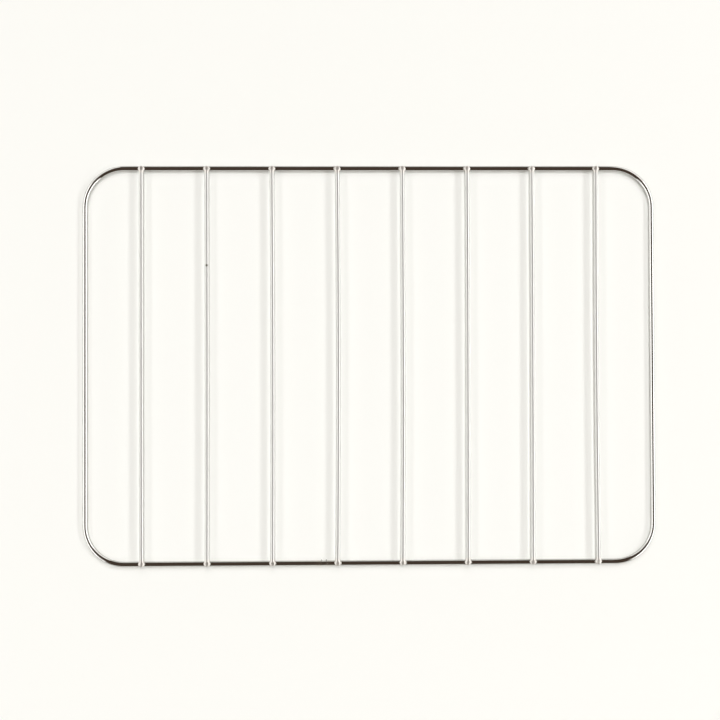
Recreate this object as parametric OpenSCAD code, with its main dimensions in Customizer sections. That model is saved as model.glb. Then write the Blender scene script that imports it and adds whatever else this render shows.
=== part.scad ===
// Flat wire cooling rack.
//
// One round frame wire is bent into a rounded rectangle and closed by a butt weld on its
// front rail. Straight cross wires lie over the two long rails. Each wire end is pressed
// flat on its rail and resistance welded there, and the weld squeezes out a small ring of
// flash around the pressed end.
//
// The origin is on the surface that the rack stands on, under the middle of the frame.
// +X runs along the long side, +Y to the back and +Z up. Sizes are in millimetres.

/* [Rack] */
// Width over the frame wire, along X
rack_w = 430; // [240:1:600]
// Depth over the frame wire, along Y
rack_d = 300; // [160:1:450]

/* [Frame wire] */
// Diameter of the frame wire
frame_wire_d = 4; // [3:0.1:6]
// Corner radius of the frame, to the middle of its wire
corner_r = 29; // [10:0.5:60]

/* [Cross wires] */
// Diameter of the cross wires
cross_wire_d = 3.5; // [2.5:0.1:4.5]
// Number of cross wires
wire_count = 8; // [2:1:19]
// Straight rail between a corner bend and the middle of the nearest cross wire
rail_lead = 13.2; // [6:0.1:40]
// Depth by which the welded wires are pressed into each other
set_down = 0.9; // [0.3:0.05:1.2]

/* [Pressed wire ends] */
// Width that pressing adds on each side of a cross wire's end
end_flare = 0.7; // [0.3:0.05:1]
// Depth by which the electrode presses the top of the end down
end_press = 0.35; // [0.1:0.05:0.6]
// Thickness of the pressed end, before the rail takes its share of it
end_h = 2.7; // [2:0.1:3]
// Rounding of the pressed end's upper edge
end_edge_r = 0.8; // [0.2:0.1:1]
// Fillet between the wire's side and the pressed end, seen from above
neck_r = 1.5; // [0.8:0.1:3]
// Thickness of the flat web in that fillet
neck_h = 1.5; // [0.8:0.1:1.8]
// Distance from the outer side of the frame to the pressed end
end_inset = 0.3; // [0:0.05:1]

/* [Weld flash] */
// Width of the flash around a pressed end
flash_w = 0.3; // [0.1:0.05:0.6]
// Height of the flash over the top of the rail
flash_rise = 0.35; // [0.1:0.05:0.8]
// Depth of the flash below the top of the rail
flash_drop = 1.05; // [0.9:0.05:1.5]

/* [Butt weld] */
// Distance from the middle of the nearest cross wire to the middle of the butt weld
butt_weld_gap = 10.6; // [8:0.1:14]
// Length of the butt weld along the rail
butt_weld_w = 4.4; // [2:0.1:8]
// Height of the upset metal over the frame wire, where it isn't ground off
butt_weld_proud = 0.3; // [0.1:0.05:0.5]

/* [Hidden] */
frame_r = frame_wire_d / 2;
cross_r = cross_wire_d / 2;

// Middle lines of the rails and the ends of their straight parts
side_rail_x = rack_w / 2 - frame_r;
long_rail_y = rack_d / 2 - frame_r;
straight_x = side_rail_x - corner_r;
straight_y = long_rail_y - corner_r;

// Cross wires: the first and the last keep their lead to the bends, the rest share the room
first_wire_x = -(straight_x - rail_lead);
wire_pitch = -2 * first_wire_x / (wire_count - 1);
wire_z = frame_wire_d - set_down + cross_r;

// Pressed ends
end_r = cross_r + end_flare;
end_y = rack_d / 2 - end_inset - end_r;
end_top = wire_z + cross_r - end_press;
neck_y = sqrt(pow(end_r + neck_r, 2) - pow(cross_r + neck_r, 2));

// Electrode mark: a flat with a sloping rim that runs out on top of the wire
electrode_r = end_r + 0.8;
electrode_slope = 3;
electrode_h = end_press + 1;

// Height, from the top of the rail down, at which the flash is widest
flash_waist = 0.2;
// Width by which the flash tapers in under the pressed end
flash_taper = 0.45;

// Butt weld, beside the cross wire left of the middle
butt_weld_x = wire_x(floor(wire_count / 2)) - butt_weld_gap;

// Room beyond a cut, so that no cutting face lies on a face of the piece
over = 1;

$fn = 96;

wire_numbers = [1:wire_count];

function wire_x(i) = first_wire_x + (i - 1) * wire_pitch;

// A straight piece of frame wire along X that reaches as far to both sides
module rod_x(reach) {
    translate([0, 0, frame_r])
        rotate([0, 90, 0])
            cylinder(h = 2 * reach, r = frame_r, center = true);
}

// A side rail, straight between its two corner bends
module side_rail() {
    translate([side_rail_x, 0, frame_r])
        rotate([90, 0, 0])
            cylinder(h = 2 * straight_y, r = frame_r, center = true);
}

// A quarter bend that starts on the +X side of its centre
module corner_bend() {
    translate([0, 0, frame_r])
        rotate_extrude(angle = 90)
            translate([corner_r, 0])
                circle(r = frame_r);
}

// The frame's closed shape
module frame_ring() {
    for (end = [0, 1])
        mirror([0, end, 0])
            translate([0, long_rail_y, 0])
                rod_x(straight_x);
    for (side = [0, 1])
        mirror([side, 0, 0])
            side_rail();
    for (side = [0, 1])
        mirror([side, 0, 0])
            for (end = [0, 1])
                mirror([0, end, 0])
                    translate([straight_x, straight_y, 0])
                        corner_bend();
}

// The stretch of the front rail that the butt weld takes up. Its margin is how far it reaches
// beyond the outer side and the underside of the rail.
module butt_weld_room(margin) {
    size = margin + frame_wire_d + butt_weld_proud + over;
    translate([butt_weld_x - butt_weld_w / 2, -rack_d / 2 - margin, -margin])
        cube([butt_weld_w, size, size]);
}

// The frame wire: one wire, with its two ends facing each other across the butt weld
module frame_wire() {
    color("silver")
        difference() {
            frame_ring();
            butt_weld_room(margin = over);
        }
}

// The weld that closes the frame wire. Its upset is ground off underneath, so that the rack
// sits level, and on the outer side of the frame.
module frame_butt_weld() {
    half_w = butt_weld_w / 2;
    crown_r = frame_r + butt_weld_proud;
    crown_half_w = half_w - 2 * butt_weld_proud;
    color("lightgray")
        intersection() {
            translate([butt_weld_x, -long_rail_y, frame_r])
                rotate([0, 90, 0])
                    rotate_extrude()
                        polygon([
                            [0, -half_w - over],
                            [frame_r, -half_w - over],
                            [frame_r, -half_w],
                            [crown_r, -crown_half_w],
                            [crown_r, crown_half_w],
                            [frame_r, half_w],
                            [frame_r, half_w + over],
                            [0, half_w + over]
                        ]);
            butt_weld_room(margin = 0);
        }
}

// The pressed end of a cross wire: a round button with a rounded upper edge
module pressed_end() {
    translate([0, end_y, end_top - end_h])
        rotate_extrude() {
            square([end_r, end_h - end_edge_r]);
            square([end_r - end_edge_r, end_h]);
            translate([end_r - end_edge_r, end_h - end_edge_r])
                circle(r = end_edge_r);
        }
}

// The web that fills the corners between the wire's sides and its pressed end
module neck_web() {
    half_w = cross_r + neck_r;
    translate([0, end_y, end_top - end_edge_r - neck_h])
        linear_extrude(height = neck_h)
            difference() {
                polygon([[0, 0], [half_w, -neck_y], [-half_w, -neck_y]]);
                for (side = [-1, 1])
                    translate([side * half_w, -neck_y])
                        circle(r = neck_r);
            }
}

// What the electrode presses away: a flat on top of the end, with a sloping rim
module electrode_mark() {
    translate([0, end_y, end_top])
        cylinder(h = electrode_h, r1 = electrode_r, r2 = electrode_r + electrode_slope * electrode_h);
}

// A plain cross wire with both ends pressed, before the rails take their share of it
module pressed_wire() {
    difference() {
        union() {
            translate([0, -end_y, wire_z])
                rotate([-90, 0, 0])
                    cylinder(h = 2 * end_y, r = cross_r);
            for (end = [0, 1])
                mirror([0, end, 0]) {
                    pressed_end();
                    neck_web();
                }
        }
        for (end = [0, 1])
            mirror([0, end, 0])
                electrode_mark();
    }
}

// The stretch of a long rail that a wire end and its flash are seated on
module rail_under_end() {
    translate([0, long_rail_y, 0])
        rod_x(end_r + flash_w + over);
}

// A cross wire, seated on both long rails
module cross_wire(i) {
    color("gainsboro")
        translate([wire_x(i), 0, 0])
            difference() {
                pressed_wire();
                for (end = [0, 1])
                    mirror([0, end, 0])
                        rail_under_end();
            }
}

// The flash that a weld squeezes out around a pressed end, at the back rail
module weld_flash() {
    difference() {
        translate([0, end_y, frame_wire_d])
            rotate_extrude()
                polygon([
                    [0, -flash_drop],
                    [end_r - flash_taper, -flash_drop],
                    [end_r + flash_w, -flash_waist],
                    [end_r, flash_rise],
                    [0, flash_rise]
                ]);
        pressed_wire();
        rail_under_end();
    }
}

module back_weld(i) {
    color("lightgray")
        translate([wire_x(i), 0, 0])
            weld_flash();
}

module front_weld(i) {
    color("lightgray")
        translate([wire_x(i), 0, 0])
            mirror([0, 1, 0])
                weld_flash();
}

frame_wire();
frame_butt_weld();
for (i = wire_numbers) {
    cross_wire(i);
    back_weld(i);
    front_weld(i);
}
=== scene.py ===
# %% [markdown]
# # A flat wire cooling rack
#
# The rack is stainless steel wire. One thick wire is bent into a rounded rectangle and its two
# ends are butt welded. Thinner wires lie across it, and a spot welding machine has pressed
# each of their ends flat on a long rail and fused it there.
#
# The CAD model already holds every piece at its real size. Here each piece is made again with
# the detail that bending, pressing and welding leave: soft transitions, pressed pads,
# squeezed-out metal and fine lines. All lengths are in metres.

# %% Load the CAD model
import math

import bpy
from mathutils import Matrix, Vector, noise


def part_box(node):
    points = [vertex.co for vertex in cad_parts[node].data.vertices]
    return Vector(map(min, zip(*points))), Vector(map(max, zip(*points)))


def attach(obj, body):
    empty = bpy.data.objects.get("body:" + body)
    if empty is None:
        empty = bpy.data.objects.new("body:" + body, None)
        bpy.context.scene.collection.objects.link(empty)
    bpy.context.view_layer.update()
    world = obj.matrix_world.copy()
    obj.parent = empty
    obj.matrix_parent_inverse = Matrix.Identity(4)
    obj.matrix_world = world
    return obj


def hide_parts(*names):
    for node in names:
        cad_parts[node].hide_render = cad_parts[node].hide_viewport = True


MM = 0.001

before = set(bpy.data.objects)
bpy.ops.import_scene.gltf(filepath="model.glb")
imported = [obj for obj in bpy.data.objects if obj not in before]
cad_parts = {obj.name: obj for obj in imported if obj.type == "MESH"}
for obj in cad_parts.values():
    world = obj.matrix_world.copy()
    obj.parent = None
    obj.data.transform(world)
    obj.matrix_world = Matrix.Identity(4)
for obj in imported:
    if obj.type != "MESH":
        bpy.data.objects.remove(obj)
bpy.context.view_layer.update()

# %% [markdown]
# ## Sizes from the CAD pieces
#
# A box round each CAD piece gives nearly every size. The frame wire's box gives its diameter
# and the middle lines of the rails. The corner radius isn't in a box, but the straight part of
# a side rail ends where the bend starts, so its farthest point along Y gives the radius.

# %% Measure the CAD pieces
frame_low, frame_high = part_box("frame_wire")
rail_r = (frame_high.z - frame_low.z) / 2
side_rail_x = frame_high.x - rail_r
long_rail_y = frame_high.y - rail_r

outermost = [v.co.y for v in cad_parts["frame_wire"].data.vertices
             if v.co.x > frame_high.x - 0.001 * MM]
corner_r = long_rail_y - max(outermost)

wire_names = sorted(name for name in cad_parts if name.startswith("cross_wire_"))
wire_low, wire_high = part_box(wire_names[0])
wire_r = (wire_high.z - wire_low.z) / 2
wire_z = (wire_high.z + wire_low.z) / 2
wire_length = wire_high.y - wire_low.y
pad_r = (wire_high.x - wire_low.x) / 2
wire_x = [(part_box(name)[0].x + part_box(name)[1].x) / 2 for name in wire_names]

butt_low, butt_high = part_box("frame_butt_weld")
print(f"frame wire {2 * rail_r / MM:.2f} mm, corner radius {corner_r / MM:.2f} mm")
print(f"cross wire {2 * wire_r / MM:.2f} mm, pad {2 * pad_r / MM:.2f} mm wide")
print("cross wires at x, mm:", [round(x / MM, 1) for x in wire_x])

# %% [markdown]
# ## Camera
#
# The rack is seen from straight above. A camera that hangs over a table is never quite level,
# so it leans about a degree, and the long lens keeps the far corners nearly square.

# %% Camera
scene = bpy.context.scene

camera_data = bpy.data.cameras.new("overhead camera")
camera_data.lens = 70
camera_data.sensor_width = 36
camera = bpy.data.objects.new("overhead camera", camera_data)
camera.location = (-0.0321, -0.0155, 1.0528)
camera.rotation_euler = [math.radians(angle) for angle in (1.066, -1.34, -0.205)]
scene.collection.objects.link(camera)
scene.camera = camera
print("camera height in mm:", round(camera.location.z / MM))

# %% [markdown]
# ## Helpers for node trees
#
# Materials, the world and Geometry Nodes are all node trees, so one helper serves them all.
# It adds a node, sets its own settings, and fills its inputs. An input takes either a plain
# value or another node's output, and then the two are linked. Colours are written as the
# six-digit values of a colour picker, which a node tree needs in linear light.

# %% Helpers for nodes and colours
def add_node(tree, kind, inputs=(), **settings):
    node = tree.nodes.new(kind)
    for name, value in settings.items():
        setattr(node, name, value)
    for key, value in (inputs.items() if isinstance(inputs, dict) else enumerate(inputs)):
        if isinstance(value, bpy.types.NodeSocket):
            tree.links.new(value, node.inputs[key])
        else:
            node.inputs[key].default_value = value
    return node


def linear(colour):
    channels = [int(colour[i:i + 2], 16) / 255 for i in (1, 3, 5)]
    return [c / 12.92 if c <= 0.04045 else ((c + 0.055) / 1.055) ** 2.4 for c in channels] + [1]


print("mid grey in linear light:", [round(c, 3) for c in linear("#808080")])

# %% [markdown]
# ## Finish: drawn and electropolished stainless steel
#
# Stainless wire gets its size by being pulled through a round die, which leaves very fine
# lines along it. Electropolishing then smooths it to a bright gloss. A metal's colour is its
# reflection, so the colour here is the pale, slightly warm grey of steel, and the look comes
# from roughness: low on the frame wire, higher on the thinner cross wires, which are drawn
# faster and come out satin.
#
# The die lines are noise that is stretched along the wire. They need a space that follows the
# wire round its bends, so every wire carries an attribute, wire_space, with its own straight
# coordinates: across, up and along. Where the attribute weld_heat is 1, the heat of a weld has
# left the metal duller and faintly straw coloured. Where stain is 1, the polishing wheel has
# missed a spot and dark scale is left.
#
# A drop that dried on one cross wire has left a dark spot too. It is smaller than the gap
# between two rings of the mesh, so the finish works it out from wire_space, as the distance
# from one place in that space.

# %% Wire finish
DIE_LINE_WIDTH = 0.25 * MM
DIE_LINE_LENGTH = 40 * MM
CLOUD_SIZE = 9 * MM
STAIN_COLOUR = "#6F6C63"
STAIN_ROUGHNESS = 0.6
DROP_R = 1.2 * MM


def wire_finish(name, colour, heat_colour, roughness, heat_roughness, line_depth, drop=None):
    material = bpy.data.materials.new(name)
    material.use_nodes = True
    tree = material.node_tree
    steel = tree.nodes["Principled BSDF"]
    steel.inputs["Metallic"].default_value = 1.0

    space = add_node(tree, "ShaderNodeAttribute", attribute_name="wire_space")
    drawn = add_node(tree, "ShaderNodeMapping",
                     {"Vector": space.outputs["Vector"],
                      "Scale": (1 / DIE_LINE_WIDTH, 1 / DIE_LINE_WIDTH, 1 / DIE_LINE_LENGTH)})
    lines = add_node(tree, "ShaderNodeTexNoise",
                     {"Vector": drawn.outputs[0], "Scale": 1.0, "Detail": 2.0})
    bump = add_node(tree, "ShaderNodeBump",
                    {"Strength": 1.0, "Distance": line_depth, "Height": lines.outputs[0]})
    tree.links.new(bump.outputs[0], steel.inputs["Normal"])

    heat = add_node(tree, "ShaderNodeAttribute", attribute_name="weld_heat").outputs["Fac"]
    if drop:
        off = add_node(tree, "ShaderNodeVectorMath", [space.outputs["Vector"], drop],
                       operation="DISTANCE")
        stain = add_node(tree, "ShaderNodeMapRange",
                         {"Value": off.outputs["Value"], "From Min": DROP_R,
                          "From Max": 0.5 * DROP_R}).outputs[0]
    else:
        stain = add_node(tree, "ShaderNodeAttribute", attribute_name="stain").outputs["Fac"]
    warm = add_node(tree, "ShaderNodeMix", {"Factor": heat, "A": linear(colour),
                                            "B": linear(heat_colour)}, data_type="RGBA")
    dark = add_node(tree, "ShaderNodeMix", {"Factor": stain, "A": warm.outputs["Result"],
                                            "B": linear(STAIN_COLOUR)}, data_type="RGBA")
    tree.links.new(dark.outputs["Result"], steel.inputs["Base Color"])

    clouds = add_node(tree, "ShaderNodeTexNoise", {"Vector": space.outputs["Vector"],
                                                   "Scale": 1 / CLOUD_SIZE, "Detail": 3.0})
    gloss = add_node(tree, "ShaderNodeMapRange",
                     {"Value": clouds.outputs[0], "From Min": 0.3, "From Max": 0.7,
                      "To Min": 0.85 * roughness, "To Max": 1.15 * roughness})
    dull = add_node(tree, "ShaderNodeMix",
                    {"Factor": heat, "A": gloss.outputs[0], "B": heat_roughness})
    dry = add_node(tree, "ShaderNodeMix",
                   {"Factor": stain, "A": dull.outputs["Result"], "B": STAIN_ROUGHNESS})
    tree.links.new(dry.outputs["Result"], steel.inputs["Roughness"])
    return material


# Each cross wire lies this much farther along wire_space, so no two have the same die lines. The
# drop is on top of the second wire, on the half towards the back
WIRE_SHIFT = 0.9
DROP_PLACE = (0.0, wire_r, 2 * WIRE_SHIFT + 75 * MM)

frame_steel = wire_finish("electropolished stainless steel, bright", "#C6C5C2", "#C6C2BB",
                          0.07, 0.25, 0.002 * MM)
cross_steel = wire_finish("electropolished stainless steel, satin", "#C9C9C6", "#CFCBC5",
                          0.44, 0.46, 0.004 * MM, drop=DROP_PLACE)
print("finishes:", frame_steel.name, "and", cross_steel.name)

# %% [markdown]
# ## Finish: weld metal
#
# A spot weld squeezes out molten steel that freezes with a fine, uneven skin, and polishing
# never quite reaches the corner where it sits. It is the same steel, so it keeps the colour,
# but it scatters light. The hollows of its skin are painted darker, as painted shade.

# %% Weld finish
SKIN_GRAIN = 0.35 * MM
SKIN_DEPTH = 0.04 * MM

weld_steel = bpy.data.materials.new("stainless steel weld flash, as squeezed out")
weld_steel.use_nodes = True
weld_tree = weld_steel.node_tree
weld_shader = weld_tree.nodes["Principled BSDF"]
weld_shader.inputs["Metallic"].default_value = 1.0
weld_shader.inputs["Roughness"].default_value = 0.45
here = add_node(weld_tree, "ShaderNodeTexCoord").outputs["Object"]
skin = add_node(weld_tree, "ShaderNodeTexNoise",
                {"Vector": here, "Scale": 1 / SKIN_GRAIN, "Detail": 4.0})
shade = add_node(weld_tree, "ShaderNodeMapRange",
                 {"Value": skin.outputs[0], "From Min": 0.35, "From Max": 0.6})
# Painted shade: the colour darkens where the skin noise is low, where the same noise makes the
# bump's hollows
hollow_shade_colour = add_node(weld_tree, "ShaderNodeMix",
                  {"Factor": shade.outputs[0], "A": linear("#77736E"), "B": linear("#CFCBC4")},
                  data_type="RGBA")
weld_tree.links.new(hollow_shade_colour.outputs["Result"], weld_shader.inputs["Base Color"])
rough_skin = add_node(weld_tree, "ShaderNodeBump",
                      {"Strength": 1.0, "Distance": SKIN_DEPTH, "Height": skin.outputs[0]})
weld_tree.links.new(rough_skin.outputs[0], weld_shader.inputs["Normal"])
print("finish:", weld_steel.name)

# %% [markdown]
# ## Helpers for Geometry Nodes
#
# Every tree starts the same way, with named inputs, so one helper opens a tree. A Geometry
# Nodes result is live until it is turned into a plain mesh. The second helper puts a tree on
# an object, fills the tree's named inputs, and keeps only the finished mesh. The third gives
# a finished piece its place in the model.

# %% Helpers that open a tree, run it and place a piece
def open_tree(name, inputs, output="Geometry"):
    tree = bpy.data.node_groups.new(name, "GeometryNodeTree")
    for socket, kind in inputs.items():
        tree.interface.new_socket(socket, in_out="INPUT", socket_type="NodeSocket" + kind)
    tree.interface.new_socket("Result", in_out="OUTPUT", socket_type="NodeSocket" + output)
    return tree, add_node(tree, "NodeGroupInput").outputs


def grow(tree, name, values, source=None):
    seed = bpy.data.objects.new(name, source or bpy.data.meshes.new(name))
    scene.collection.objects.link(seed)
    modifier = seed.modifiers.new(tree.name, "NODES")
    modifier.node_group = tree
    for socket in tree.interface.items_tree:
        if socket.in_out == "INPUT" and socket.name in values:
            modifier[socket.identifier] = values[socket.name]
    seed.update_tag()
    finished = seed.evaluated_get(bpy.context.evaluated_depsgraph_get())
    mesh = bpy.data.meshes.new_from_object(finished)
    bpy.data.objects.remove(seed)
    piece = bpy.data.objects.new(name, mesh)
    scene.collection.objects.link(piece)
    return piece


def place_in_model(piece, node):
    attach(piece, "root")
    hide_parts(node)
    low, high = [[round(pick(v.co[i] for v in piece.data.vertices) / MM, 2) for i in range(3)]
                 for pick in (min, max)]
    print(f"{piece.name}: {len(piece.data.polygons)} faces, mm {low} to {high}")


# %% [markdown]
# ## Frame wire
#
# The real wire is bent cold round a former at its four corners. In Blender it could be a curve
# with a bevel, but its rings would then be spaced by the curve's own points. Here the script
# gives only the middle line with square corners, and a node tree does what the bending machine
# does: it rounds each corner, spaces the rings evenly and sweeps a circle along the line.

# %% Node tree that bends a wire
bent_wire, given = open_tree("bent wire", {
    "Middle line": "Geometry", "Corner radius": "Float", "Wire radius": "Float",
    "Ring spacing": "Float", "Sides": "Int", "Heated length": "Float", "Finish": "Material"})

bent = add_node(bent_wire, "GeometryNodeFilletCurve",
                {"Curve": given["Middle line"], "Count": 24, "Radius": given["Corner radius"]},
                mode="POLY")
rings = add_node(bent_wire, "GeometryNodeResampleCurve",
                 {"Curve": bent.outputs[0], "Length": given["Ring spacing"]}, mode="LENGTH")

# How hot each ring got in the butt weld, from its distance to the nearer end of the wire
along = add_node(bent_wire, "GeometryNodeSplineParameter").outputs["Length"]
whole = add_node(bent_wire, "GeometryNodeSplineLength").outputs["Length"]
back = add_node(bent_wire, "ShaderNodeMath", [whole, along], operation="SUBTRACT")
from_end = add_node(bent_wire, "ShaderNodeMath", [along, back.outputs[0]], operation="MINIMUM")
heat = add_node(bent_wire, "ShaderNodeMapRange",
                {"Value": from_end.outputs[0], "From Min": given["Heated length"],
                 "From Max": 0.0}, interpolation_type="SMOOTHSTEP")
heated = add_node(bent_wire, "GeometryNodeStoreNamedAttribute",
                  {"Geometry": rings.outputs[0], "Name": "weld_heat", "Value": heat.outputs[0]})
measured = add_node(bent_wire, "GeometryNodeStoreNamedAttribute",
                    {"Geometry": heated.outputs[0], "Name": "along", "Value": along})

# The section, with a note on each of its points of where it sits across the wire
circle = add_node(bent_wire, "GeometryNodeCurvePrimitiveCircle",
                  {"Resolution": given["Sides"], "Radius": given["Wire radius"]}, mode="RADIUS")
across = add_node(bent_wire, "GeometryNodeInputPosition").outputs[0]
section = add_node(bent_wire, "GeometryNodeStoreNamedAttribute",
                   {"Geometry": circle.outputs[0], "Name": "across", "Value": across},
                   data_type="FLOAT_VECTOR")
swept = add_node(bent_wire, "GeometryNodeCurveToMesh",
                 {"Curve": measured.outputs[0], "Profile Curve": section.outputs[0],
                  "Fill Caps": True})

# The two notes together are the wire's own straight coordinates
across_it = add_node(bent_wire, "GeometryNodeInputNamedAttribute", {"Name": "across"},
                     data_type="FLOAT_VECTOR")
along_it = add_node(bent_wire, "GeometryNodeInputNamedAttribute", {"Name": "along"})
parts = add_node(bent_wire, "ShaderNodeSeparateXYZ", [across_it.outputs["Attribute"]])
straight = add_node(bent_wire, "ShaderNodeCombineXYZ",
                    [parts.outputs[0], parts.outputs[1], along_it.outputs["Attribute"]])
spaced = add_node(bent_wire, "GeometryNodeStoreNamedAttribute",
                  {"Geometry": swept.outputs[0], "Name": "wire_space",
                   "Value": straight.outputs[0]}, data_type="FLOAT_VECTOR")
real = add_node(bent_wire, "GeometryNodeRealizeInstances", [spaced.outputs[0]])
steel = add_node(bent_wire, "GeometryNodeSetMaterial",
                 {"Geometry": real.outputs[0], "Material": given["Finish"]})
add_node(bent_wire, "NodeGroupOutput", [steel.outputs[0]])
print("bent wire tree:", len(bent_wire.nodes), "nodes")

# %% Bend the frame wire
# It starts and ends at the butt weld, and reaches a little way into it
WELD_GRIP = 0.3 * MM

line = bpy.data.curves.new("frame middle line", "CURVE")
line.dimensions = "3D"
path = line.splines.new("POLY")
stops = [(butt_high.x - WELD_GRIP, -long_rail_y), (side_rail_x, -long_rail_y),
         (side_rail_x, long_rail_y), (-side_rail_x, long_rail_y),
         (-side_rail_x, -long_rail_y), (butt_low.x + WELD_GRIP, -long_rail_y)]
path.points.add(len(stops) - 1)
for point, (x, y) in zip(path.points, stops):
    point.co = (x, y, rail_r, 1)

frame_wire = grow(bent_wire, "frame_wire_bent", {
    "Corner radius": corner_r, "Wire radius": rail_r, "Ring spacing": 2 * MM, "Sides": 48,
    "Heated length": 8 * MM, "Finish": frame_steel}, line)
place_in_model(frame_wire, "frame_wire")

# %% [markdown]
# ## Butt weld
#
# The two ends of the frame wire are clamped, heated and pushed together. Hot metal is forced
# out into two thin lips, one at each side of the joint. They are then ground off and polished
# over, except towards the middle of the rack, where the cross wires stop the wheel. So the
# joint mirrors as brightly as the wire, and two small lips tell where it is. This happens once
# on the rack and is uneven, so it is a mesh built ring by ring, in code.

# %% Butt weld
LIP_HEIGHT = 0.9 * MM
LIP_WIDTH = 0.34 * MM
# How far round the wire a lip still stands, from the side towards the middle of the rack
LIP_FULL, LIP_GONE = math.radians(15), math.radians(52)
# Size of the lumps in a lip, and how much they change its height
LIP_LUMP, LIP_UNEVENNESS = 0.8 * MM, 0.5
POLISH_WAVE = 0.03 * MM
# How much heat and scale the polishing leaves to see
HEAT_LEFT, SCALE_LEFT = 0.25, 0.7
WELD_RINGS = 89
WELD_SIDES = 64

weld_middle = (butt_low.x + butt_high.x) / 2
weld_half = (butt_high.x - butt_low.x) / 2
lip_place = weld_half - 1.3 * LIP_WIDTH

weld_points, weld_places, weld_heats, weld_scale = [], [], [], []
for ring in range(WELD_RINGS):
    x = weld_half * (2 * ring / (WELD_RINGS - 1) - 1)
    lip = math.exp(-((abs(x) - lip_place) / LIP_WIDTH) ** 2)
    middle = 1 - (x / weld_half) ** 2
    for side in range(WELD_SIDES):
        angle = 2 * math.pi * side / WELD_SIDES
        y, z = math.cos(angle), math.sin(angle)
        turn = math.acos(y)
        left_on = min(max((LIP_GONE - turn) / (LIP_GONE - LIP_FULL), 0), 1)
        left_on *= left_on * (3 - 2 * left_on)
        rough = noise.noise(Vector((x, y * rail_r, z * rail_r)) / LIP_LUMP)
        r = rail_r + LIP_HEIGHT * left_on * lip * (1 + LIP_UNEVENNESS * rough)
        r -= POLISH_WAVE * middle * (1 + rough)
        weld_points.append((weld_middle + x, y * r - long_rail_y, z * r + rail_r))
        weld_places.append((y * rail_r, z * rail_r, x))
        weld_heats.append(HEAT_LEFT * middle)
        weld_scale.append(min(1.5 * left_on * lip, SCALE_LEFT))

weld_faces = [tuple(reversed(range(WELD_SIDES))),
              tuple(range((WELD_RINGS - 1) * WELD_SIDES, WELD_RINGS * WELD_SIDES))]
for a in range((WELD_RINGS - 1) * WELD_SIDES):
    b = a + 1 - (WELD_SIDES if (a + 1) % WELD_SIDES == 0 else 0)
    weld_faces.append((a, b, b + WELD_SIDES, a + WELD_SIDES))

weld_mesh = bpy.data.meshes.new("frame_butt_weld_upset")
weld_mesh.from_pydata(weld_points, [], weld_faces)
weld_mesh.attributes.new("wire_space", "FLOAT_VECTOR", "POINT").data.foreach_set(
    "vector", [v for place in weld_places for v in place])
weld_mesh.attributes.new("weld_heat", "FLOAT", "POINT").data.foreach_set("value", weld_heats)
weld_mesh.attributes.new("stain", "FLOAT", "POINT").data.foreach_set("value", weld_scale)
weld_mesh.materials.append(frame_steel)
weld_mesh.shade_smooth()
butt_weld = bpy.data.objects.new("frame_butt_weld_upset", weld_mesh)
scene.collection.objects.link(butt_weld)
place_in_model(butt_weld, "frame_butt_weld")

# %% [markdown]
# ## Cross wires
#
# Each cross wire is cut to length and laid over the rails, and copper electrodes press on its
# ends while the current flows. The hot end spreads into a round pad with a flat on top where
# the electrode sat. Eight wires follow one rule and differ only by chance, so one node tree
# makes them all: it sweeps a straight wire with many rings near its ends and few between, then
# moves each point by its distance from the wire's end.
#
# Two lengths round the tip. Seen from above it is as round as the pad is wide, and seen from
# the side only its edge is rounded. Both follow the same quarter circle, so that small rule
# is a tree of its own, used twice.

# %% Node tree for a rounded tip
rounded_tip, given = open_tree("rounded tip", {"Distance": "Float", "Rounding": "Float"},
                               output="Float")
reach = add_node(rounded_tip, "ShaderNodeMath", [given["Distance"], given["Rounding"]],
                 operation="DIVIDE", use_clamp=True)
other = add_node(rounded_tip, "ShaderNodeMath", [2.0, reach.outputs[0]], operation="SUBTRACT")
square = add_node(rounded_tip, "ShaderNodeMath", [reach.outputs[0], other.outputs[0]],
                  operation="MULTIPLY")
height = add_node(rounded_tip, "ShaderNodeMath", [square.outputs[0]], operation="SQRT")
add_node(rounded_tip, "NodeGroupOutput", [height.outputs[0]])
print("rounded tip tree:", len(rounded_tip.nodes), "nodes")

# %% Pressed wire tree, part 1: a straight wire
WIRE_RINGS = 181
WIRE_SIDES = 44
# How strongly the rings crowd towards the ends
CROWDING = 3.0
# How far the heat of the weld shows, as a share of the length of the pad and its neck
HEAT_REACH = 1.6
# How softly the electrode's flat runs out into the dome
FLAT_BLEND = 0.15 * MM
LUMP_SIZE = 1.2 * MM

pressed_wire, given = open_tree("pressed wire", {
    "Place": "Vector", "Length": "Float", "Wire radius": "Float", "Pad radius": "Float",
    "Neck length": "Float", "Tip rounding": "Float", "Press depth": "Float",
    "Flat depth": "Float", "Flat slope": "Float", "Bow": "Float", "Lean": "Float",
    "Unevenness": "Float", "Seed": "Float", "Finish": "Material"})

line = add_node(pressed_wire, "GeometryNodeCurvePrimitiveLine",
                {"Start": (0, -CROWDING, 0), "End": (0, CROWDING, 0)})
rings = add_node(pressed_wire, "GeometryNodeResampleCurve",
                 {"Curve": line.outputs[0], "Count": WIRE_RINGS})
spot = add_node(pressed_wire, "GeometryNodeInputPosition").outputs[0]
x, y, z = add_node(pressed_wire, "ShaderNodeSeparateXYZ", [spot]).outputs
crowd = add_node(pressed_wire, "ShaderNodeMath", [y], operation="TANH")
half = add_node(pressed_wire, "ShaderNodeMath", [given["Length"], 2.0],
                operation="DIVIDE").outputs[0]
stretch = add_node(pressed_wire, "ShaderNodeMath", [half, math.tanh(CROWDING)],
                   operation="DIVIDE")
ring_y = add_node(pressed_wire, "ShaderNodeMath", [crowd.outputs[0], stretch.outputs[0]],
                  operation="MULTIPLY")
ring_place = add_node(pressed_wire, "ShaderNodeCombineXYZ", {"Y": ring_y.outputs[0]})
crowded = add_node(pressed_wire, "GeometryNodeSetPosition",
                   {"Geometry": rings.outputs[0], "Position": ring_place.outputs[0]})
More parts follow.
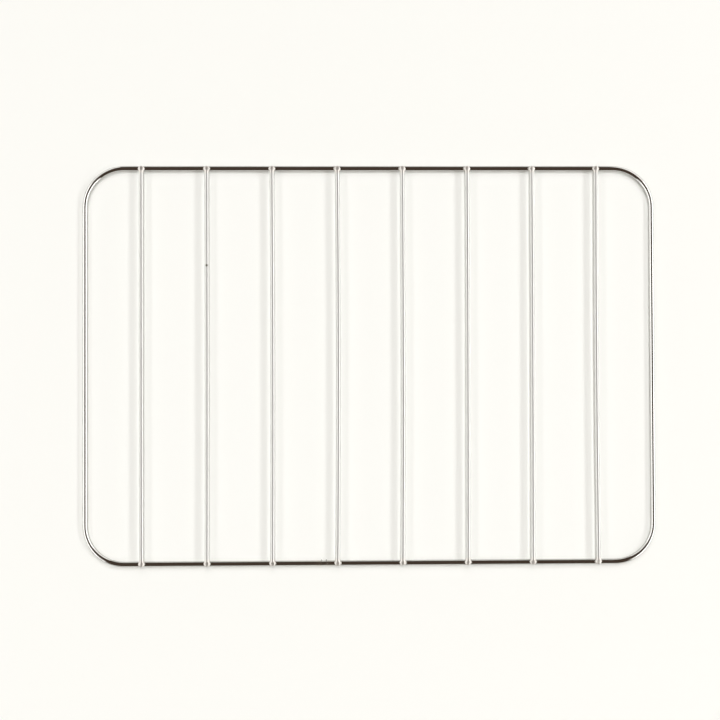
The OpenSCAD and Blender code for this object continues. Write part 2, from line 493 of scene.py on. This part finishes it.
circle = add_node(pressed_wire, "GeometryNodeCurvePrimitiveCircle",
                  {"Resolution": WIRE_SIDES, "Radius": given["Wire radius"]}, mode="RADIUS")
swept = add_node(pressed_wire, "GeometryNodeCurveToMesh",
                 {"Curve": crowded.outputs[0], "Profile Curve": circle.outputs[0]})
print("straight wire:", WIRE_RINGS, "rings of", WIRE_SIDES, "points")

# %% Pressed wire tree, part 2: what the finish needs to know
# The seed moves each wire to another stretch of the same noise
shifted = add_node(pressed_wire, "ShaderNodeMath", [y, given["Seed"]], operation="ADD")
own = add_node(pressed_wire, "ShaderNodeCombineXYZ", [x, z, shifted.outputs[0]])
spaced = add_node(pressed_wire, "GeometryNodeStoreNamedAttribute",
                  {"Geometry": swept.outputs[0], "Name": "wire_space", "Value": own.outputs[0]},
                  data_type="FLOAT_VECTOR")

off_middle = add_node(pressed_wire, "ShaderNodeMath", [y], operation="ABSOLUTE")
distance = add_node(pressed_wire, "ShaderNodeMath", [half, off_middle.outputs[0]],
                    operation="SUBTRACT").outputs[0]
neck_end = add_node(pressed_wire, "ShaderNodeMath", [given["Pad radius"], given["Neck length"]],
                    operation="ADD").outputs[0]
heat_end = add_node(pressed_wire, "ShaderNodeMath", [neck_end, HEAT_REACH],
                    operation="MULTIPLY")
heat = add_node(pressed_wire, "ShaderNodeMapRange",
                {"Value": distance, "From Min": heat_end.outputs[0], "From Max": neck_end},
                interpolation_type="SMOOTHSTEP").outputs[0]
heated = add_node(pressed_wire, "GeometryNodeStoreNamedAttribute",
                  {"Geometry": spaced.outputs[0], "Name": "weld_heat", "Value": heat})
print("attributes for the finish: wire_space and weld_heat")

# %% Pressed wire tree, part 3: pads, necks and electrode marks
# The share of the pad in the shape: 0 on the plain wire, growing along the neck to 1
pad_share = add_node(pressed_wire, "ShaderNodeMapRange",
                     {"Value": distance, "From Min": neck_end, "From Max": given["Pad radius"]},
                     interpolation_type="SMOOTHSTEP").outputs[0]
tip_above, tip_beside = [add_node(pressed_wire, "GeometryNodeGroup", node_tree=rounded_tip)
                         for _ in range(2)]
for tip, rounding in ((tip_above, "Pad radius"), (tip_beside, "Tip rounding")):
    pressed_wire.links.new(distance, tip.inputs["Distance"])
    pressed_wire.links.new(given[rounding], tip.inputs["Rounding"])

# Across the wire: the pad's extra width, and the round tip as seen from above
extra = add_node(pressed_wire, "ShaderNodeMath", [given["Pad radius"], given["Wire radius"]],
                 operation="DIVIDE")
widest = add_node(pressed_wire, "ShaderNodeMath", [extra.outputs[0], 1.0], operation="SUBTRACT")
wider = add_node(pressed_wire, "ShaderNodeMath", [pad_share, widest.outputs[0], 1.0],
                 operation="MULTIPLY_ADD")
wide = add_node(pressed_wire, "ShaderNodeMath", [x, wider.outputs[0]], operation="MULTIPLY")
pad_x = add_node(pressed_wire, "ShaderNodeMath", [wide.outputs[0], tip_above.outputs[0]],
                 operation="MULTIPLY")

# Upwards: pressing makes a low dome, and the middle of the electrode leaves a small flat on it
pressed = add_node(pressed_wire, "ShaderNodeMath", [given["Press depth"], given["Wire radius"]],
                   operation="DIVIDE")
lost = add_node(pressed_wire, "ShaderNodeMath", [pad_share, pressed.outputs[0]],
                operation="MULTIPLY")
lower = add_node(pressed_wire, "ShaderNodeMath", [1.0, lost.outputs[0]], operation="SUBTRACT")
dome = add_node(pressed_wire, "ShaderNodeMath", [z, lower.outputs[0]], operation="MULTIPLY")
tall = add_node(pressed_wire, "ShaderNodeMath", [dome.outputs[0], tip_beside.outputs[0]],
                operation="MULTIPLY")
deepest = add_node(pressed_wire, "ShaderNodeMath", [given["Press depth"], given["Flat depth"]],
                   operation="ADD")
pressed_top = add_node(pressed_wire, "ShaderNodeMath",
                       [given["Wire radius"], deepest.outputs[0]], operation="SUBTRACT")
beyond = add_node(pressed_wire, "ShaderNodeMath", [distance, given["Pad radius"]],
                  operation="SUBTRACT")
risen = add_node(pressed_wire, "ShaderNodeMath", [beyond.outputs[0], 0.0],
                 operation="MAXIMUM")
mark = add_node(pressed_wire, "ShaderNodeMath",
                [risen.outputs[0], given["Flat slope"], pressed_top.outputs[0]],
                operation="MULTIPLY_ADD")
pad_z = add_node(pressed_wire, "ShaderNodeMath",
                 [tall.outputs[0], mark.outputs[0], FLAT_BLEND], operation="SMOOTH_MIN")
pad = add_node(pressed_wire, "ShaderNodeCombineXYZ", [pad_x.outputs[0], y, pad_z.outputs[0]])
shaped = add_node(pressed_wire, "GeometryNodeSetPosition",
                  {"Geometry": heated.outputs[0], "Position": pad.outputs[0]})
print("pads:", round(2 * pad_r / MM, 2), "mm wide")

# %% Pressed wire tree, part 4: what makes each wire its own
# Hot metal freezes unevenly. The unevenness dies away along the neck and at the very tip
own_space = add_node(pressed_wire, "GeometryNodeInputNamedAttribute", {"Name": "wire_space"},
                     data_type="FLOAT_VECTOR").outputs["Attribute"]
lumps = add_node(pressed_wire, "ShaderNodeTexNoise",
                 {"Vector": own_space, "Scale": 1 / LUMP_SIZE, "Detail": 2.0})
centred = add_node(pressed_wire, "ShaderNodeVectorMath",
                   [lumps.outputs["Color"], (0.5, 0.5, 0.5)], operation="SUBTRACT")
share = add_node(pressed_wire, "ShaderNodeMath", [pad_share, tip_above.outputs[0]],
                 operation="MULTIPLY")
amount = add_node(pressed_wire, "ShaderNodeMath", [share.outputs[0], given["Unevenness"]],
                  operation="MULTIPLY")
uneven = add_node(pressed_wire, "ShaderNodeVectorMath",
                  {0: centred.outputs[0], "Scale": amount.outputs[0]}, operation="SCALE")

# A wire is never quite straight: it bows in the middle and leans from end to end
part_way = add_node(pressed_wire, "ShaderNodeMath", [y, half], operation="DIVIDE").outputs[0]
squared = add_node(pressed_wire, "ShaderNodeMath", [part_way, part_way], operation="MULTIPLY")
bulge = add_node(pressed_wire, "ShaderNodeMath", [1.0, squared.outputs[0]],
                 operation="SUBTRACT")
leant = add_node(pressed_wire, "ShaderNodeMath", [part_way, given["Lean"]],
                 operation="MULTIPLY")
sideways = add_node(pressed_wire, "ShaderNodeMath",
                    [bulge.outputs[0], given["Bow"], leant.outputs[0]],
                    operation="MULTIPLY_ADD")
sway = add_node(pressed_wire, "ShaderNodeCombineXYZ", {"X": sideways.outputs[0]})
swayed = add_node(pressed_wire, "ShaderNodeVectorMath", [sway.outputs[0], given["Place"]],
                  operation="ADD")
move = add_node(pressed_wire, "ShaderNodeVectorMath", [swayed.outputs[0], uneven.outputs[0]],
                operation="ADD")
moved = add_node(pressed_wire, "GeometryNodeSetPosition",
                 {"Geometry": shaped.outputs[0], "Offset": move.outputs[0]})

# At a tip a whole ring meets in one point, and merging closes the wire
closed = add_node(pressed_wire, "GeometryNodeMergeByDistance",
                  {"Geometry": moved.outputs[0], "Distance": 0.002 * MM})
real = add_node(pressed_wire, "GeometryNodeRealizeInstances", [closed.outputs[0]])
steel = add_node(pressed_wire, "GeometryNodeSetMaterial",
                 {"Geometry": real.outputs[0], "Material": given["Finish"]})
add_node(pressed_wire, "NodeGroupOutput", [steel.outputs[0]])
print("pressed wire tree:", len(pressed_wire.nodes), "nodes")

# %% Press the eight cross wires
# How far each wire bows and leans, from left to right, in mm
BOWS = [0.0, 0.2, 0.4, 0.7, 0.5, 0.2, 0.2, -0.5]
LEANS = [0.0, 0.1, 0.1, 0.3, 0.4, 0.3, 0.3, -0.1]

for i, name in enumerate(wire_names):
    wire = grow(pressed_wire, name + "_pressed", {
        "Place": (wire_x[i], 0.0, wire_z), "Length": wire_length, "Wire radius": wire_r,
        "Pad radius": pad_r, "Neck length": 1.6 * MM, "Tip rounding": 0.9 * MM,
        "Press depth": 0.35 * MM, "Flat depth": 0.1 * MM, "Flat slope": 0.5,
        "Bow": BOWS[i] * MM, "Lean": LEANS[i] * MM, "Unevenness": 0.55 * MM,
        "Seed": WIRE_SHIFT * (i + 1),
        "Finish": cross_steel})
    place_in_model(wire, name)

# %% [markdown]
# ## Weld flash
#
# Under each pad a ring of steel is squeezed out of the joint. It lies where the pad meets the
# rail, so it follows the rail's round top like a saddle. It is small and there are sixteen of
# it, all alike but never the same, which is work for a node tree: a closed curve on the saddle,
# a thin bead swept along it, and noise for its thickness.

# %% Node tree that squeezes out a weld
weld_flash, given = open_tree("weld flash", {
    "Place": "Vector", "Reach along rail": "Float", "Reach across rail": "Float",
    "Rail radius": "Float", "Bead radius": "Float", "Unevenness": "Float", "Grain": "Float",
    "Seed": "Float", "Finish": "Material"})

ring = add_node(weld_flash, "GeometryNodeCurvePrimitiveCircle",
                {"Resolution": 72, "Radius": 1.0}, mode="RADIUS")
spot = add_node(weld_flash, "GeometryNodeInputPosition").outputs[0]
x, y, z = add_node(weld_flash, "ShaderNodeSeparateXYZ", [spot]).outputs
saddle_x = add_node(weld_flash, "ShaderNodeMath", [x, given["Reach along rail"]],
                    operation="MULTIPLY")
saddle_y = add_node(weld_flash, "ShaderNodeMath", [y, given["Reach across rail"]],
                    operation="MULTIPLY")
tilt = add_node(weld_flash, "ShaderNodeMath", [saddle_y.outputs[0], given["Rail radius"]],
                operation="DIVIDE")
tilt_angle = add_node(weld_flash, "ShaderNodeMath", [tilt.outputs[0]], operation="ARCSINE")
upright = add_node(weld_flash, "ShaderNodeMath", [tilt_angle.outputs[0]], operation="COSINE")
saddle_z = add_node(weld_flash, "ShaderNodeMath", [upright.outputs[0], given["Rail radius"]],
                    operation="MULTIPLY")
saddle = add_node(weld_flash, "ShaderNodeCombineXYZ",
                  [saddle_x.outputs[0], saddle_y.outputs[0], saddle_z.outputs[0]])
laid = add_node(weld_flash, "GeometryNodeSetPosition",
                {"Geometry": ring.outputs[0], "Position": saddle.outputs[0]})

# The seed moves each weld to another part of the noise
nudge = add_node(weld_flash, "ShaderNodeCombineXYZ", {"Z": given["Seed"]})
noise_at = add_node(weld_flash, "ShaderNodeVectorMath", [spot, nudge.outputs[0]],
                    operation="ADD")
grain = add_node(weld_flash, "ShaderNodeMath", [1.0, given["Grain"]], operation="DIVIDE")
lumps = add_node(weld_flash, "ShaderNodeTexNoise",
                 {"Vector": noise_at.outputs[0], "Scale": grain.outputs[0], "Detail": 3.0})
lump = add_node(weld_flash, "ShaderNodeMath", [lumps.outputs[0], 0.5], operation="SUBTRACT")
thick = add_node(weld_flash, "ShaderNodeMath",
                 [lump.outputs[0], given["Unevenness"], 1.0], operation="MULTIPLY_ADD")
bead = add_node(weld_flash, "GeometryNodeCurvePrimitiveCircle",
                {"Resolution": 16, "Radius": given["Bead radius"]}, mode="RADIUS")
swept = add_node(weld_flash, "GeometryNodeCurveToMesh",
                 {"Curve": laid.outputs[0], "Profile Curve": bead.outputs[0],
                  "Scale": thick.outputs[0]})
moved = add_node(weld_flash, "GeometryNodeSetPosition",
                 {"Geometry": swept.outputs[0], "Offset": given["Place"]})
real = add_node(weld_flash, "GeometryNodeRealizeInstances", [moved.outputs[0]])
steel = add_node(weld_flash, "GeometryNodeSetMaterial",
                 {"Geometry": real.outputs[0], "Material": given["Finish"]})
add_node(weld_flash, "NodeGroupOutput", [steel.outputs[0]])
print("weld flash tree:", len(weld_flash.nodes), "nodes")

# %% Squeeze out the sixteen welds
BEAD_R = 0.38 * MM
BEAD_LUMP = 1.1 * MM
# How far the bead is tucked in under the pad's widest place, how far it reaches to each side
# across the rail, and how far its middle lies inward of the middle of the rail
TUCK, REACH_ACROSS, INWARD = 0.22 * MM, 1.5 * MM, 0.15 * MM

for side, rail_y in (("back", long_rail_y), ("front", -long_rail_y)):
    for i, x in enumerate(wire_x):
        node = f"{side}_weld_{i + 1}"
        flash = grow(weld_flash, node + "_flash", {
            "Place": (x, rail_y - math.copysign(INWARD, rail_y), rail_r),
            "Reach along rail": pad_r - TUCK, "Reach across rail": REACH_ACROSS,
            "Rail radius": rail_r, "Bead radius": BEAD_R, "Unevenness": 1.0,
            "Grain": BEAD_LUMP, "Seed": 0.13 * (i + 1) + 2.0 * (rail_y > 0),
            "Finish": weld_steel})
        place_in_model(flash, node)

# %% [markdown]
# ## Floor and light
#
# The rack lies on a white paper sheet in a dark room. Polished wire has hardly any shade of its
# own and mirrors its surroundings, so the light has two jobs: it lights the sheet and draws
# the shadows, and it gives the steel something to mirror.
#
# A narrow softbox at each side draws the soft strips of shadow beside the wires. Three wide
# suns, overhead and towards the back, stand for a skylight and light the sheet evenly however
# far it reaches. A tall white screen at each side is only mirrored. It turns a side rail white,
# with a dark line where the room shows between the two screens. A long rail mirrors hardly
# anything but the room, so it looks nearly black.

# %% Floor
FLOOR_HALF = 20.0

floor_mesh = bpy.data.meshes.new("floor")
floor_mesh.from_pydata([(-FLOOR_HALF, -FLOOR_HALF, 0), (FLOOR_HALF, -FLOOR_HALF, 0),
                        (FLOOR_HALF, FLOOR_HALF, 0), (-FLOOR_HALF, FLOOR_HALF, 0)],
                       [], [(0, 1, 2, 3)])
floor = bpy.data.objects.new("floor", floor_mesh)
scene.collection.objects.link(floor)
paper = bpy.data.materials.new("white paper sheet")
paper.use_nodes = True
paper_shader = paper.node_tree.nodes["Principled BSDF"]
paper_shader.inputs["Base Color"].default_value = linear("#F7F8F4")
paper_shader.inputs["Roughness"].default_value = 0.9
paper_shader.inputs["Specular IOR Level"].default_value = 0.0
floor_mesh.materials.append(paper)

# %% Area lights
# Each has its middle, the point that it faces, its length along Y, its width across that, and
# the brightness of its face, where the lit paper has about 1. The screens are only mirrored
LIGHTS = {
    "left softbox": dict(at=(-1.9, -0.25, 1.75), to=(0, -0.25, 0), length=3.3, width=0.50,
                         radiance=2.9),
    "right softbox": dict(at=(2.5, -0.50, 1.9), to=(0, -0.50, 0), length=4.8, width=0.50,
                          radiance=5.6),
    "left screen": dict(at=(-1.5, 1.9, 1.35), to=(0, 1.9, 1.35), length=8.2, width=2.7,
                        radiance=1.2, lights_floor=False),
    "right screen": dict(at=(1.5, 1.9, 1.35), to=(0, 1.9, 1.35), length=8.2, width=2.7,
                         radiance=1.35, lights_floor=False),
}
for name, light in LIGHTS.items():
    lamp = bpy.data.lights.new(name, "AREA")
    lamp.shape = "RECTANGLE"
    lamp.size = light["width"]
    lamp.size_y = light["length"]
    lamp.energy = light["radiance"] * math.pi * lamp.size * lamp.size_y
    panel = bpy.data.objects.new(name, lamp)
    panel.location = light["at"]
    back = Vector(light["at"]) - Vector(light["to"])
    panel.rotation_euler = back.to_track_quat("Z", "X").to_euler()
    panel.visible_camera = False
    panel.visible_diffuse = light.get("lights_floor", True)
    scene.collection.objects.link(panel)
    print(f"{name}: {lamp.energy:.0f} W")

# %% Skylight
# How far each sun stands from overhead towards the back, in degrees, and its light on the floor
SUNS = {0: 0.90, 25: 0.74, 50: 0.36}
for lean, light in SUNS.items():
    lamp = bpy.data.lights.new(f"skylight {lean}", "SUN")
    lamp.angle = math.radians(14)
    lamp.energy = light / math.cos(math.radians(lean))
    sun = bpy.data.objects.new(lamp.name, lamp)
    sun.rotation_euler = (-math.radians(lean), 0, 0)
    sun.visible_glossy = False
    scene.collection.objects.link(sun)
print("skylight:", len(SUNS), "suns,", round(sum(SUNS.values()), 2), "on the floor")

# %% [markdown]
# ## Room
#
# Around the screens, the wires mirror the room: dark and warm overhead, and white near the
# horizon, where the far end of the sheet curves up. The camera sees a plain backdrop there, in
# the tone of the far floor, so a low view shows no edge between the two.

# %% World
ROOM_COLOUR = "#54473D"
WHITE = "#FAFAF6"
FAR_FLOOR = "#DAD8D2"
# The curved end of the sheet fades out between these heights over the horizon
SHEET_TOP, SHEET_FADE = math.radians(14), math.radians(8)

world = bpy.data.worlds.new("studio")
world.use_nodes = True
scene.world = world
sky = world.node_tree
sky.nodes.clear()
direction = add_node(sky, "ShaderNodeTexCoord").outputs["Generated"]
up = add_node(sky, "ShaderNodeSeparateXYZ", [direction]).outputs["Z"]
sheet = add_node(sky, "ShaderNodeMapRange",
                 {"Value": up, "From Min": math.sin(SHEET_TOP), "From Max": math.sin(SHEET_FADE)},
                 interpolation_type="SMOOTHSTEP")
room = add_node(sky, "ShaderNodeBackground", {"Color": linear(ROOM_COLOUR), "Strength": 1.0})
white = add_node(sky, "ShaderNodeBackground", {"Color": linear(WHITE), "Strength": 1.0})
studio = add_node(sky, "ShaderNodeMixShader",
                  [sheet.outputs[0], room.outputs[0], white.outputs[0]])
seen = add_node(sky, "ShaderNodeLightPath")
backdrop = add_node(sky, "ShaderNodeBackground", {"Color": linear(FAR_FLOOR), "Strength": 1.0})
whole_sky = add_node(sky, "ShaderNodeMixShader",
                     [seen.outputs["Is Camera Ray"], studio.outputs[0], backdrop.outputs[0]])
add_node(sky, "ShaderNodeOutputWorld", [whole_sky.outputs[0]])
scene.view_settings.view_transform = "Standard"
print("world:", len(sky.nodes), "nodes")
